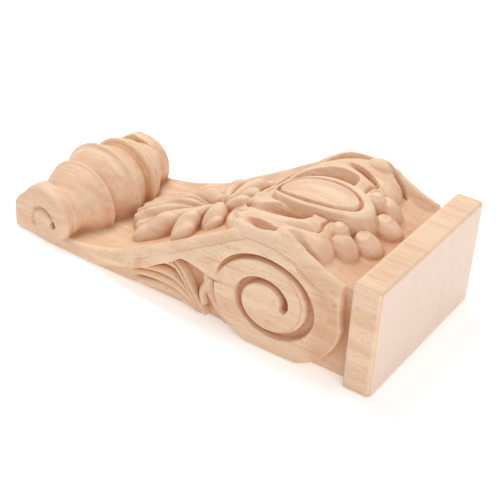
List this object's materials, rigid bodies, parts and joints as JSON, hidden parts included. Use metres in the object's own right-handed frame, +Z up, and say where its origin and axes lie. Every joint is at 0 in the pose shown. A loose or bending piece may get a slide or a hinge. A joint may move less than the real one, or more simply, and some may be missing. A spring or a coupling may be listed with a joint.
{
  "type": "roman column corbel",
  "caption": "Carved wooden wall corbel: flat top slab, scrolled head with an oval boss and shell, side volutes, a palmette neck and a turned reel at the foot.",
  "frame": {"origin": "middle of the flat back, on the wall plane, halfway up", "axes": "+Z up with the top slab uppermost, +Y out of the flat back into the wall, +X along the top slab's long side"},
  "size_m": [0.09, 0.0572, 0.2],
  "materials": {
    "rubberwood": "bare, unfinished, sanded and carved, matt"
  },
  "bodies": {
    "root": {"corbel": "rubberwood"}
  },
  "joints": []
}
